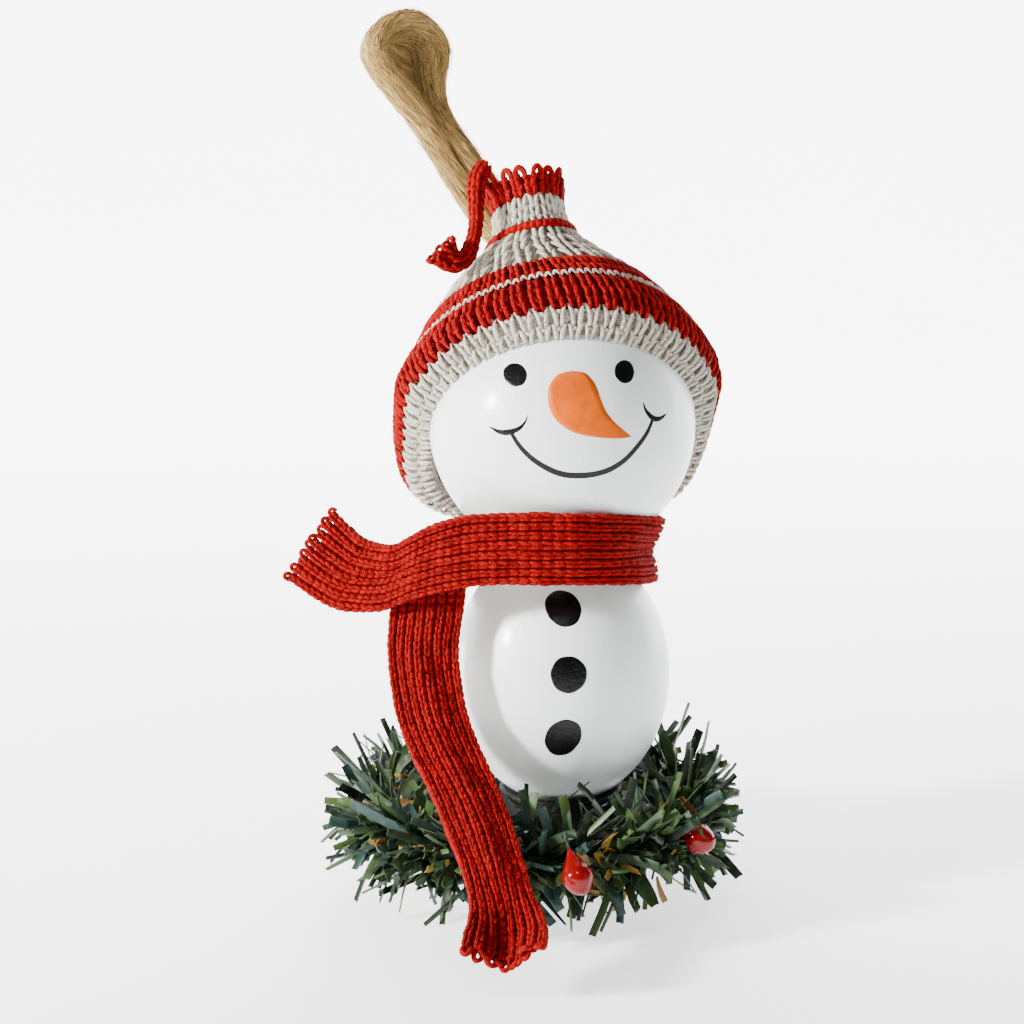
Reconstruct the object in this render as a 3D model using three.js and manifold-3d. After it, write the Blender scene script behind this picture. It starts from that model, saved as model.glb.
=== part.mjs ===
// A standing snowman made of two turned and painted wooden balls on a dished foot. It wears a
// knitted hood-shaped hat with a hanging loop of jute and a knitted scarf, and it stands in a
// small ring of artificial fir garland with red berries.
// Millimetres, +Z up, the face looks towards -Y. The origin is the middle of the foot's underside.

import * as THREE from 'three';
import Module from 'manifold-3d';
import { mergeVertices } from 'three/addons/utils/BufferGeometryUtils.js';

const wasm = await Module();
wasm.setup();

// Driving dimensions.
const CLEARANCE = 0.4;
const LATHE_STEPS = 36;

const BODY = { radius: 27, halfHeight: 33, centre: 50.5, flat: 81.6 };
const HEAD = { radius: 32.5, centre: 112.4, flat: 82.1, turn: 10 };
const FOOT = { radius: 15.5, height: 21.5, chamfer: 0.8 };
const DOWEL = { radius: 4, bottom: 68, top: 96, chamfer: 0.6 };
const CORD_HOLE = { radius: 7.1, bottom: 130 };

const CORD_RADIUS = 3;
const HAT_WALL = 2.8;
const HAT_HEM = 90;
const FACE_OPENING = { slope: 47.7, front: 21.8, height: 136.6 };
const SCARF_THICKNESS = 2.4;
const SCARF_WIDTH = 17;

const WREATH = { radius: 37, tube: 13.5, height: 14, x: -6, y: 2, bunches: 10 };
const WIRE_RADIUS = 1.1;
const BERRY = { radius: 3.9, length: 11, stemRadius: 0.5, stemLength: 6 };

// The hat's cross sections from hem to frill: height, radius, and the middle of the section.
const HAT_SECTIONS = [
  { height: HAT_HEM, radius: 33.5, x: -1.5, y: 0.5 },
  { height: 100, radius: 38.5, x: -1.5, y: 0.5 },
  { height: 110, radius: 40.3, x: -2, y: 1 },
  { height: 120, radius: 39.6, x: -2, y: 2.5 },
  { height: 130, radius: 36, x: -2, y: 6 },
  { height: 138, radius: 31, x: -2.5, y: 8 },
  { height: 146, radius: 24, x: -4, y: 8 },
  { height: 152, radius: 17.5, x: -6, y: 7.5 },
  { height: 158, radius: 12.8, x: -9.5, y: 7 },
  { height: 163, radius: 11, x: -12, y: 7 },
  { height: 170, radius: 10.8, x: -12, y: 8 },
  { height: 176, radius: 12, x: -12, y: 9 },
];

// The jute's way: out of the hole in the head, through the hat, round the loop and back.
const CORD_ROUTE = [
  [-3.2, 0, 131.5], [-3.2, 0, 137], [-3.2, 0.2, 142.6], [-5.8, 1.4, 148.4], [-10.5, 4.4, 154],
  [-15.9, 7.8, 159.6], [-20.9, 10.5, 166.3], [-25.7, 12.1, 173.6], [-30.2, 12.4, 180.8],
  [-34.4, 11.8, 187], [-38.4, 11, 192.6], [-41.8, 10.4, 198], [-43, 10.6, 203],
  [-41.4, 12.4, 206.8], [-37.8, 15, 207.6], [-34.6, 17.4, 205], [-33.4, 18.4, 200],
  [-31.4, 17.4, 194.4], [-28.4, 15.8, 189.4], [-24.9, 14.6, 184.2], [-20.7, 13.8, 177.4],
  [-16.1, 12.4, 170.4], [-11.6, 10, 164.8], [-7, 7, 159.4], [-2, 3.8, 153.4],
  [2, 1.2, 148], [3.2, 0.2, 142.6], [3.2, 0, 137], [3.2, 0, 131.5],
];
const CORD_CROWN = 14;

const PAINT_WHITE = 0xe4ebe9;
const PAINT_BLACK = 0x15120f;
const BARE_WOOD = 0xc9a878;
const KNIT_RED = 0xb5141a;
const JUTE = 0xae9163;
const FIR_GREEN = 0x2e4a34;
const WIRE_GREEN = 0x26382a;
const BERRY_RED = 0xb01018;

const radians = THREE.MathUtils.degToRad;

function part(name, geometry, color, roughness, metalness = 0) {
  const mesh = new THREE.Mesh(geometry, new THREE.MeshStandardMaterial({ color, roughness, metalness }));
  mesh.name = name;
  return mesh;
}

// A closed geometry as a solid that can be cut and joined.
function solid(geometry) {
  const bare = geometry.clone();
  bare.deleteAttribute('normal');
  bare.deleteAttribute('uv');
  const merged = mergeVertices(bare, 1e-4);
  const corners = merged.index.array;
  const triVerts = [];
  for (let i = 0; i < corners.length; i += 3) {
    const [a, b, c] = [corners[i], corners[i + 1], corners[i + 2]];
    if (a !== b && b !== c && c !== a) triVerts.push(a, b, c);
  }
  return new wasm.Manifold(new wasm.Mesh({
    numProp: 3,
    vertProperties: new Float32Array(merged.attributes.position.array),
    triVerts: new Uint32Array(triVerts),
  }));
}

function geometryOf(body) {
  const mesh = body.getMesh();
  const geometry = new THREE.BufferGeometry();
  geometry.setAttribute('position', new THREE.BufferAttribute(mesh.vertProperties, 3));
  geometry.setIndex(new THREE.BufferAttribute(mesh.triVerts, 1));
  geometry.computeVertexNormals();
  return geometry;
}

// A profile of [radius, height] pairs turned about the vertical axis.
function turned(profile, steps = LATHE_STEPS) {
  const points = profile.map(([radius, height]) => new THREE.Vector2(radius, height));
  return new THREE.LatheGeometry(points, steps).rotateX(Math.PI / 2);
}

function ellipsoid(radius, halfHeight, centre) {
  return new THREE.SphereGeometry(1, LATHE_STEPS, 24)
    .rotateX(Math.PI / 2)
    .scale(radius, radius, halfHeight)
    .translate(0, 0, centre);
}

// The profile of a ball with half axes radius and halfHeight, from one height to another.
function ballProfile(radius, halfHeight, centre, from, to, steps) {
  const start = Math.asin((from - centre) / halfHeight);
  const end = Math.asin((to - centre) / halfHeight);
  const points = [];
  for (let i = 0; i <= steps; i++) {
    const angle = start + ((end - start) * i) / steps;
    points.push([radius * Math.cos(angle), centre + halfHeight * Math.sin(angle)]);
  }
  return points;
}

function tube(points, radius, sides, steps) {
  const section = new THREE.Shape().absarc(0, 0, radius, 0, 2 * Math.PI);
  const route = new THREE.CatmullRomCurve3(points.map((point) => new THREE.Vector3(...point)));
  return new THREE.ExtrudeGeometry(section, { steps, curveSegments: sides / 2, extrudePath: route });
}

// Foot: a black plug whose top is dished to hold the lower ball.
function foot() {
  const { radius, height, chamfer } = FOOT;
  const plug = turned([
    [0, 0], [radius - chamfer, 0], [radius, chamfer],
    [radius, height - chamfer], [radius - chamfer, height], [0, height],
  ]);
  const dish = ellipsoid(BODY.radius + CLEARANCE, BODY.halfHeight + CLEARANCE, BODY.centre);
  return part('foot', geometryOf(solid(plug).subtract(solid(dish))), PAINT_BLACK, 0.55);
}

// Lower ball, taller than it is wide, flat on top, with the dowel's hole.
function bodyBall() {
  const { radius, halfHeight, centre, flat } = BODY;
  const hole = DOWEL.radius + CLEARANCE;
  const holeBottom = DOWEL.bottom - CLEARANCE;
  const outside = ballProfile(radius, halfHeight, centre, centre - halfHeight, flat, 18);
  outside[0][0] = 0;
  const profile = [...outside, [hole, flat], [hole, holeBottom], [0, holeBottom]];
  return part('body_ball', turned(profile), PAINT_WHITE, 0.35);
}

// Upper ball, flat below, with a hole for the dowel and a wider one above for the jute.
function headBall() {
  const { radius, centre, flat } = HEAD;
  const pinHole = DOWEL.radius + CLEARANCE;
  const pinHoleTop = DOWEL.top + CLEARANCE;
  const rim = centre + Math.sqrt(radius ** 2 - CORD_HOLE.radius ** 2);
  const profile = [
    [0, pinHoleTop], [pinHole, pinHoleTop], [pinHole, flat],
    ...ballProfile(radius, radius, centre, flat, rim, 20),
    [CORD_HOLE.radius, CORD_HOLE.bottom], [0, CORD_HOLE.bottom],
  ];
  return part('head_ball', turned(profile), PAINT_WHITE, 0.35);
}

function neckDowel() {
  const { radius, bottom, top, chamfer } = DOWEL;
  const profile = [
    [0, bottom], [radius - chamfer, bottom], [radius, bottom + chamfer],
    [radius, top - chamfer], [radius - chamfer, top], [0, top],
  ];
  return part('neck_dowel', turned(profile, 20), BARE_WOOD, 0.7);
}

// The jute's two legs, each grown by the clearance that its neighbours keep to it.
function cordLegs() {
  const legs = [CORD_ROUTE.slice(0, CORD_CROWN + 1), CORD_ROUTE.slice(CORD_CROWN)];
  return legs.map((leg) => tube(leg, CORD_RADIUS + CLEARANCE, 10, 28));
}

function juteLoop() {
  return part('jute_loop', tube(CORD_ROUTE, CORD_RADIUS, 10, 56), JUTE, 0.95);
}

// The middle of the hat's section at a height, between the two sections around it.
function hatMiddle(height) {
  const above = Math.max(1, HAT_SECTIONS.findIndex((section) => section.height >= height));
  const [low, high] = [HAT_SECTIONS[above - 1], HAT_SECTIONS[above]];
  const t = THREE.MathUtils.clamp((height - low.height) / (high.height - low.height), 0, 1);
  return [THREE.MathUtils.lerp(low.x, high.x, t), THREE.MathUtils.lerp(low.y, high.y, t)];
}

// The block in front of and below the face opening's sloping plane.
function faceOpening() {
  const size = 200;
  return new THREE.BoxGeometry(size, size, size)
    .translate(0, 0, -size / 2)
    .rotateX(-radians(FACE_OPENING.slope))
    .translate(0, -FACE_OPENING.front, FACE_OPENING.height)
    .rotateZ(radians(HEAD.turn));
}

// Hat: a leaning knitted tube, open at the frill and cut away before the face.
function hat() {
  const outside = HAT_SECTIONS.map(({ height, radius }) => [radius, height]);
  const inside = HAT_SECTIONS.map(({ height, radius }) => [radius - HAT_WALL, height]).reverse();
  const shell = turned([...outside, ...inside, outside[0]]);
  const position = shell.attributes.position;
  for (let i = 0; i < position.count; i++) {
    const [x, y] = hatMiddle(position.getZ(i));
    position.setXY(i, position.getX(i) + x, position.getY(i) + y);
  }
  const headSpace = ellipsoid(HEAD.radius + CLEARANCE, HEAD.radius + CLEARANCE, HEAD.centre);
  let knit = solid(shell).subtract(solid(headSpace)).subtract(solid(faceOpening()));
  for (const leg of cordLegs()) knit = knit.subtract(solid(leg));
  return part('hat', geometryOf(knit), KNIT_RED, 0.9);
}

// Tie: a knitted string round the hat's neck, with one end hanging down the left side.
function hatTie() {
  const neck = { x: -12, y: 8, height: 170, radius: 12.9 };
  const route = [];
  for (const angle of [35, 5, -25, -55, -85, -115, -145]) {
    const turn = radians(angle);
    const x = neck.x + neck.radius * Math.cos(turn);
    const y = neck.y + neck.radius * Math.sin(turn);
    route.push([x, y, neck.height]);
  }
  route.push([-24.6, -1.2, 167], [-25, -2.6, 161], [-24.8, -4.6, 155.5], [-25.6, -6, 151.8]);
  route.push([-28.4, -6.8, 151.6], [-31, -7, 154]);
  return part('hat_tie', tube(route, 1.6, 8, 40), KNIT_RED, 0.9);
}

// Scarf: wound once round the neck, crossed at the left, with a short and a long tail.
function scarf() {
  const half = SCARF_WIDTH / 2;
  const section = [
    [26.2, -half], [25.6, 0], [28.8, half], [26.2, half], [22.4, 0], [22, -half], [26.2, -half],
  ];
  const wrap = turned(section)
    .rotateX(-radians(8.5))
    .translate(-1.5, 0.5, 81);
  const crossing = new THREE.BoxGeometry(25, 6.5, 18)
    .rotateZ(-radians(14))
    .translate(-25, -21.5, 78.5);
  const shortTail = new THREE.BoxGeometry(36, SCARF_THICKNESS, 20)
    .rotateY(radians(19))
    .rotateZ(-radians(8))
    .translate(-48, -19, 80.5);
  const strip = new THREE.Shape([
    new THREE.Vector2(-SCARF_THICKNESS / 2, -half), new THREE.Vector2(SCARF_THICKNESS / 2, -half),
    new THREE.Vector2(SCARF_THICKNESS / 2, half), new THREE.Vector2(-SCARF_THICKNESS / 2, half),
  ]);
  const drop = new THREE.CatmullRomCurve3([
    [-30.5, -21.5, 76], [-33, -22, 66], [-32.3, -24, 56], [-30.5, -26.5, 46], [-27.5, -30, 38.5],
    [-23.8, -35, 33.5], [-20, -42, 29.5], [-17, -50, 21.5], [-15, -56, 12.5], [-14, -61.5, 6],
    [-14.2, -67, 3.2], [-15.2, -73, 2.6],
  ].map((point) => new THREE.Vector3(...point)));
  const longTail = new THREE.ExtrudeGeometry(strip, { steps: 26, extrudePath: drop });
  const headSpace = ellipsoid(HEAD.radius + CLEARANCE, HEAD.radius + CLEARANCE, HEAD.centre);
  const bodySpace = ellipsoid(BODY.radius + CLEARANCE, BODY.halfHeight + CLEARANCE, BODY.centre);
  const cloth = solid(wrap)
    .add(solid(crossing))
    .add(solid(shortTail))
    .add(solid(longTail))
    .subtract(solid(headSpace))
    .subtract(solid(bodySpace));
  return part('scarf', geometryOf(cloth), KNIT_RED, 0.9);
}

// A point of the wreath's wire at an angle round the ring.
class WreathArc extends THREE.Curve {
  constructor(start, end) {
    super();
    this.start = start;
    this.end = end;
  }

  getPoint(t, target = new THREE.Vector3()) {
    const angle = THREE.MathUtils.lerp(this.start, this.end, t);
    return target.set(
      WREATH.x + WREATH.radius * Math.cos(angle),
      WREATH.y + WREATH.radius * Math.sin(angle),
      WREATH.height,
    );
  }
}

function wreathWire() {
  const ring = new THREE.TorusGeometry(WREATH.radius, WIRE_RADIUS, 8, 60)
    .translate(WREATH.x, WREATH.y, WREATH.height);
  return part('wreath_wire', ring, WIRE_GREEN, 0.5, 0.6);
}

// Berries: drop-shaped, each on a wire stem that points back to the wreath's wire.
const BERRY_PLACES = [
  { angle: -80, lift: 14 }, { angle: -33, lift: 14 }, { angle: 40, lift: 20 },
  { angle: 112, lift: 16 }, { angle: 186, lift: 18 },
];

// Turns a piece that stands on the origin along +Z to point out of the wreath at a place.
function onWreath(geometry, { angle, lift }, distance) {
  return geometry
    .rotateY(radians(90 - lift))
    .translate(
      WREATH.radius + distance * Math.cos(radians(lift)),
      0,
      WREATH.height + distance * Math.sin(radians(lift)),
    )
    .rotateZ(radians(angle))
    .translate(WREATH.x, WREATH.y, 0);
}

function berryShape(place, grown = 0) {
  const { radius, length } = BERRY;
  const outline = [
    [0, 0], [0.25, 0.06], [0.55, 0.2], [0.86, 0.4], [1, 0.62], [0.92, 0.82], [0.55, 0.96], [0, 1],
  ];
  const profile = outline.map(([out, along]) => [
    out * (radius + grown), along * (length + 2 * grown) - grown,
  ]);
  return onWreath(turned(profile, 14), place, WREATH.tube - 3.5);
}

function stemShape(place, grown = 0) {
  const { stemRadius, stemLength } = BERRY;
  const [width, height] = [stemRadius + grown, stemLength + 2 * grown];
  const stem = new THREE.CylinderGeometry(width, width, height, 8)
    .rotateX(Math.PI / 2);
  return onWreath(stem, place, WREATH.tube - 3.5 - CLEARANCE - stemLength / 2);
}

// Garland: bunches of needles, each a thick sleeve on the wire with room for berry and stem.
function garland() {
  const bunches = [];
  const share = (2 * Math.PI) / WREATH.bunches;
  const spacing = CLEARANCE / WREATH.radius;
  const section = new THREE.Shape().absarc(0, 0, WREATH.tube, 0, 2 * Math.PI);
  section.holes.push(new THREE.Path().absarc(0, 0, WIRE_RADIUS + CLEARANCE, 0, 2 * Math.PI));
  for (let i = 0; i < WREATH.bunches; i++) {
    const arc = new WreathArc(i * share + spacing, (i + 1) * share - spacing);
    const sleeve = new THREE.ExtrudeGeometry(section, { steps: 4, curveSegments: 6, extrudePath: arc });
    let bunch = solid(sleeve);
    for (const place of BERRY_PLACES) {
      bunch = bunch
        .subtract(solid(berryShape(place, CLEARANCE)))
        .subtract(solid(stemShape(place, CLEARANCE)));
    }
    const name = `garland_${String(i + 1).padStart(2, '0')}`;
    bunches.push(part(name, geometryOf(bunch), FIR_GREEN, 0.6));
  }
  return bunches;
}

function berries() {
  return BERRY_PLACES.flatMap((place, i) => [
    part(`berry_${i + 1}`, berryShape(place), BERRY_RED, 0.15),
    part(`berry_stem_${i + 1}`, stemShape(place), WIRE_GREEN, 0.5, 0.6),
  ]);
}

const head = new THREE.Group();
head.add(headBall(), hat(), hatTie(), juteLoop());

const wreath = new THREE.Group();
wreath.add(wreathWire(), ...garland(), ...berries());

const snowman = new THREE.Group();
snowman.add(foot(), bodyBall(), neckDowel(), head, scarf(), wreath);

export default snowman;
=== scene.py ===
"""A standing snowman of two painted wooden balls with a knitted hat, a jute loop, a knitted scarf
and a ring of artificial fir garland. Metres, +Z up, the face looks towards -Y."""

import math

import bpy
import numpy as np
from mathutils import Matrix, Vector


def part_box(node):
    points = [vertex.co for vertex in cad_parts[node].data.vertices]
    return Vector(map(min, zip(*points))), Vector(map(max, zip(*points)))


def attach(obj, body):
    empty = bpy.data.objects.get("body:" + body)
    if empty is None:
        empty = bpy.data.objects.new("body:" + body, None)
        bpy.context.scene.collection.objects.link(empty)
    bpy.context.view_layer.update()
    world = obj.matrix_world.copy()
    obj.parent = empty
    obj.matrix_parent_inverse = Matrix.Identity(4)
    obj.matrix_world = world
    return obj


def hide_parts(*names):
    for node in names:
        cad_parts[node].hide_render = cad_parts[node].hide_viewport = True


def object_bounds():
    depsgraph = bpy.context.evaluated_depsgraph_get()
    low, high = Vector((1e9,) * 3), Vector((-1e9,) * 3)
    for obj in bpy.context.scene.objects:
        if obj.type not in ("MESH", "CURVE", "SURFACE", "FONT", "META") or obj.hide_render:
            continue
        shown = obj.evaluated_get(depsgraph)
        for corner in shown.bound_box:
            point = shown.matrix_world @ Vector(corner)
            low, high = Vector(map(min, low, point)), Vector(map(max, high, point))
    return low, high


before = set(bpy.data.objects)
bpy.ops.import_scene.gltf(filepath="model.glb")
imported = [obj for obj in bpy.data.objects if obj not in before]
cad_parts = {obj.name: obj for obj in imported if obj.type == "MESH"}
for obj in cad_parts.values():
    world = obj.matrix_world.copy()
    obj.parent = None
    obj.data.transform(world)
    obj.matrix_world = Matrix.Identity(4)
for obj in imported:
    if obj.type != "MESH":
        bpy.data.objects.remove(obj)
cad_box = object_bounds()

MM = 0.001
BASE = "base"
HEAD = "head"

# ---------------------------------------------------------------------------------------------
# Camera: a long lens a little above the face, looking slightly down on the figure.

camera_data = bpy.data.cameras.new("camera")
camera_data.lens = 64.9
camera_data.sensor_width = 36
camera = bpy.data.objects.new("camera", camera_data)
bpy.context.scene.collection.objects.link(camera)
camera.location = (-12.2 * MM, -450 * MM, 156.3 * MM)
camera.rotation_euler = (math.radians(90 - 8.3), 0, 0)
bpy.context.scene.camera = camera

# ---------------------------------------------------------------------------------------------
# Jute loop: a 6 mm cord of loosely laid natural fibre, doubled. Both ends are glued into the
# hole in the top of the head ball. At the bend the soft cord has opened into a flat band.

JUTE_DIAMETER = 6 * MM
JUTE_ROUTE = [
    (-3.2, 0, 131.5), (-3.2, 0, 137), (-3.2, 0.2, 142.6), (-6.4, 1.6, 148.4), (-11.5, 4.6, 154),
    (-17.0, 8.0, 159.8), (-22.0, 10.6, 166.4), (-26.6, 12.2, 173.6), (-30.8, 12.6, 180.6),
    (-35.0, 12.0, 187), (-39.8, 11.0, 193), (-44.0, 10.2, 198.2), (-46.2, 10.4, 202.8),
    (-44.6, 12.0, 206.6), (-41.0, 14.2, 208.6), (-36.8, 16.6, 208.2), (-33.4, 18.6, 205.2),
    (-32.2, 19.2, 200.8), (-32.8, 18.2, 196.0), (-32.4, 16.9, 191.4), (-30.4, 15.6, 186.8),
    (-26.4, 14.4, 180.8), (-21.8, 13.4, 174.2), (-17.2, 12.2, 168.2), (-12.4, 10, 163.4),
    (-7.4, 7, 158.8), (-2, 3.8, 153.2), (2, 1.2, 148), (3.2, 0.2, 142.6), (3.2, 0, 137),
    (3.2, 0, 131.5),
]
JUTE_LAY = 19 * MM
# The opened bend: where its middle lies along the cord and how far it reaches, as shares of the
# length, how wide and thick it is in cords, and the ways its width runs before and after the top.
BEND_PLACE = 0.508
BEND_REACH = 0.115
BEND_WIDTH = 1.76
BEND_THICKNESS = 0.84
BAND_WIDTHS = np.array([(-0.30, 0.92, -0.20), (-0.84, 0.46, -0.66)])
CORD_RINGS = 360
CORD_SIDES = 44


class Signal:
    """One socket of a material in plain arithmetic: each operator adds a Math node."""

    def __init__(self, socket):
        self.socket = socket

    def math(self, operation, *others):
        tree = self.socket.id_data
        node = tree.nodes.new("ShaderNodeMath")
        node.operation = operation
        for entry, value in zip(node.inputs, (self, *others)):
            if isinstance(value, Signal):
                tree.links.new(value.socket, entry)
            else:
                entry.default_value = value
        return Signal(node.outputs[0])

    def __add__(self, other):
        return self.math("ADD", other)

    def __sub__(self, other):
        return self.math("SUBTRACT", other)

    def __rsub__(self, other):
        return self.math("MULTIPLY_ADD", -1.0, other)

    def __mul__(self, other):
        return self.math("MULTIPLY", other)

    __radd__ = __add__
    __rmul__ = __mul__

    def clamped(self):
        return self.math("MAXIMUM", 0.0).math("MINIMUM", 1.0)


class Finish:
    """A material with one Principled shader, whose varying inputs are fed by nodes."""

    def __init__(self, name, **constants):
        self.material = bpy.data.materials.new(name)
        self.material.use_nodes = True
        self.tree = self.material.node_tree
        self.shader = self.tree.nodes["Principled BSDF"]
        for socket, value in constants.items():
            self.shader.inputs[socket.replace("_", " ")].default_value = value

    def node(self, kind, settings=None, output=0, inputs=None):
        node = self.tree.nodes.new(kind)
        for setting, value in (settings or {}).items():
            setattr(node, setting, value)
        for key, value in (inputs or {}).items():
            if isinstance(value, Signal):
                self.tree.links.new(value.socket, node.inputs[key])
            else:
                node.inputs[key].default_value = value
        return Signal(node.outputs[output])

    def place(self, stretch=(1, 1, 1), source="Object"):
        """Object or UV coordinates, stretched."""
        coordinates = self.node("ShaderNodeTexCoord", output=source)
        return self.node("ShaderNodeMapping", inputs={"Vector": coordinates, "Scale": stretch})

    def noise(self, place, scale, detail=3.0, roughness=0.55):
        settings = {"Vector": place, "Scale": scale, "Detail": detail, "Roughness": roughness}
        return self.node("ShaderNodeTexNoise", inputs=settings)

    def mix(self, factor, first, second):
        return self.node("ShaderNodeMix", {"data_type": "RGBA"}, 2, {0: factor, 6: first, 7: second})

    def attribute(self, name):
        return self.node("ShaderNodeAttribute", {"attribute_name": name}, "Fac")

    def bump(self, height, strength, distance):
        return self.node("ShaderNodeBump", inputs={"Height": height, "Strength": strength,
                                                  "Distance": distance})

    def feed(self, **inputs):
        for socket, signal in inputs.items():
            self.tree.links.new(signal.socket, self.shader.inputs[socket.replace("_", " ")])
        return self.material


def smooth_curve(points, per_span=12):
    """The smooth curve through points, in whatever unit they are in."""
    knots = np.array([points[0], *points, points[-1]], float)
    t = np.linspace(0, 1, per_span, endpoint=False)[:, None]
    spans = [
        0.5 * (2 * b + (c - a) * t + (2 * a - 5 * b + 4 * c - d) * t ** 2
               + (3 * b - a - 3 * c + d) * t ** 3)
        for a, b, c, d in zip(knots, knots[1:], knots[2:], knots[3:])
    ]
    return np.vstack([*spans, knots[-1:]])


def evenly(curve, count):
    """The same curve with its points an equal way apart, and its length."""
    steps = np.linalg.norm(np.diff(curve[:, :3], axis=0), axis=1)
    along = np.concatenate([[0], np.cumsum(steps)])
    wanted = np.linspace(0, along[-1], count)
    columns = [np.interp(wanted, along, column) for column in curve.T]
    return np.column_stack(columns), along[-1]


def unit(vectors):
    return vectors / np.linalg.norm(vectors, axis=-1, keepdims=True)


def carried_frames(path, side=(1, 0, 0)):
    """Directions along a path, and two across it that turn with it without twisting."""
    along = unit(np.gradient(path, axis=0))
    across = np.empty_like(path)
    start = np.array(side, float)
    for i, direction in enumerate(along):
        start = start - direction * (start @ direction)
        start /= np.linalg.norm(start)
        across[i] = start
    return along, across, np.cross(along, across)


def mesh_piece(name, vertices, faces, material, tone=None):
    """A smooth mesh object at the origin; tone is a number for each vertex that materials read."""
    data = bpy.data.meshes.new(name)
    data.from_pydata(np.asarray(vertices).tolist(), [], faces)
    data.materials.append(material)
    data.polygons.foreach_set("use_smooth", [True] * len(data.polygons))
    if tone is not None:
        data.attributes.new("tone", "FLOAT", "POINT").data.foreach_set("value", np.ravel(tone))
    data.update()
    piece = bpy.data.objects.new(name, data)
    bpy.context.scene.collection.objects.link(piece)
    return piece


def grid_faces(rows, columns, closed=False):
    """Quads between rows of points; closed joins each row's last point to its first."""
    spans = columns if closed else columns - 1
    i, j = np.meshgrid(np.arange(rows - 1), np.arange(spans), indexing="ij")
    k = (j + 1) % columns
    quads = [i * columns + j, i * columns + k, (i + 1) * columns + k, (i + 1) * columns + j]
    return np.stack(quads, -1).reshape(-1, 4)


def tube_faces(count, rings, sides):
    """The faces of closed tubes whose points come tube by tube and ring by ring."""
    offsets = np.arange(count)[:, None, None] * rings * sides
    faces = (grid_faces(rings, sides, closed=True)[None] + offsets).reshape(-1, 4).tolist()
    for ends in (np.arange(sides)[::-1], np.arange((rings - 1) * sides, rings * sides)):
        faces += (ends[None] + offsets[:, 0]).tolist()
    return faces


def tubes(centres, sides, across, up, radii, flat, plies=0.0):
    """Closed tubes, one for each row of centres; plies is how deep two twisted plies show."""
    count, rings = centres.shape[:2]
    angle = np.linspace(0, 2 * math.pi, sides, endpoint=False)
    twist = 0.9 * np.arange(rings)[:, None]
    lobes = (1 + plies * np.cos(2 * angle - twist))[None, :, :, None]
    ring = lobes * (np.cos(angle)[:, None] * across[:, :, None, :]
                    + flat * np.sin(angle)[:, None] * up[:, :, None, :])
    vertices = centres[:, :, None, :] + radii[:, :, None, None] * ring
    return vertices.reshape(-1, 3), tube_faces(count, rings, sides)


def jute_finish():
    """Coarse straw-coloured fibres along the cord, with dark streaks between them painted as shade in
    their hollows.
    """
    finish = Finish("jute", Specular_IOR_Level=0.15)
    fibre = finish.noise(finish.place((420, 26, 1), "UV"), 1.0, 6.0, 0.7)
    fine = finish.noise(finish.place((1500, 60, 1), "UV"), 1.0, 3.0, 0.7)
    cloud = finish.noise(finish.place(), 260.0, 3.0)
    tone = (fibre * 2.2 + fine * 1.5 + cloud * 0.5 + finish.attribute("tone") - 2.12).clamped()
    # The dark end of this mix is painted shade in the hollows between the fibres.
    yarn = finish.mix(tone, (0.075, 0.040, 0.010, 1), (0.60, 0.39, 0.140, 1))
    pale = (fine * 4.0 + cloud - 2.6).clamped() * 0.6
    return finish.feed(Base_Color=finish.mix(pale, yarn, (0.80, 0.62, 0.32, 1)),
                       Roughness=fibre * 0.2 + 0.72,
                       Normal=finish.bump(fibre * 0.8 + fine * 0.6, 1.0, 0.5 * MM))


def jute_cord(material):
    """The laid cord: round in its legs, spread into a hollow-sided band at the bend."""
    rings, sides = CORD_RINGS, CORD_SIDES
    path, length = evenly(smooth_curve(JUTE_ROUTE) * MM, rings)
    along, across, up = carried_frames(path)
    s = np.linspace(0, length, rings)
    bend = np.exp(-((s / length - BEND_PLACE) / BEND_REACH) ** 4)[:, None]
    over = np.clip((s / length - 0.44) / 0.07, 0, 1)[:, None]
    width = BAND_WIDTHS[0] * (1 - over) + BAND_WIDTHS[1] * over
    width = unit(width - along * (along * width).sum(1, keepdims=True))
    thick = np.cross(along, width)
    angle = np.linspace(0, 2 * math.pi, sides, endpoint=False)[None, :]
    turn = np.arctan2((width * up).sum(1), (width * across).sum(1))[:, None]
    strand = angle - (s / JUTE_LAY * 2 * math.pi)[:, None] * (1 - 0.6 * bend) + turn
    round_part = 0.87 + 0.16 * np.abs(np.cos(1.5 * strand)) ** 0.7
    rng = np.random.default_rng(4)
    rough = 1 + 0.035 * np.repeat(rng.normal(size=(rings // 10 + 1, sides)), 10, 0)[:rings]
    half_width = JUTE_DIAMETER / 2 * ((1 - bend) * 1.03 + bend * BEND_WIDTH)
    half_thick = JUTE_DIAMETER / 2 * ((1 - bend) * 1.03 + bend * BEND_THICKNESS)
    shape = round_part * rough
    points = (path[:, None] + (half_width * np.cos(angle) * shape)[..., None] * width[:, None]
              + (half_thick * np.sin(angle) * shape)[..., None] * thick[:, None])
    cord = mesh_piece("jute_cord", points.reshape(-1, 3), tube_faces(1, rings, sides), material,
                      np.full(rings * sides, 0.5))
    twist = np.abs((strand / (2 * math.pi)) % 1 - 0.5) * 0.06
    place = np.stack([twist, np.broadcast_to(s[:, None], twist.shape)], -1).reshape(-1, 2)
    corner = np.empty(len(cord.data.loops), int)
    cord.data.loops.foreach_get("vertex_index", corner)
    cord.data.uv_layers.new(name="UVMap").data.foreach_set("uv", place[corner].ravel())
    return cord, path, length, points


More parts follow.
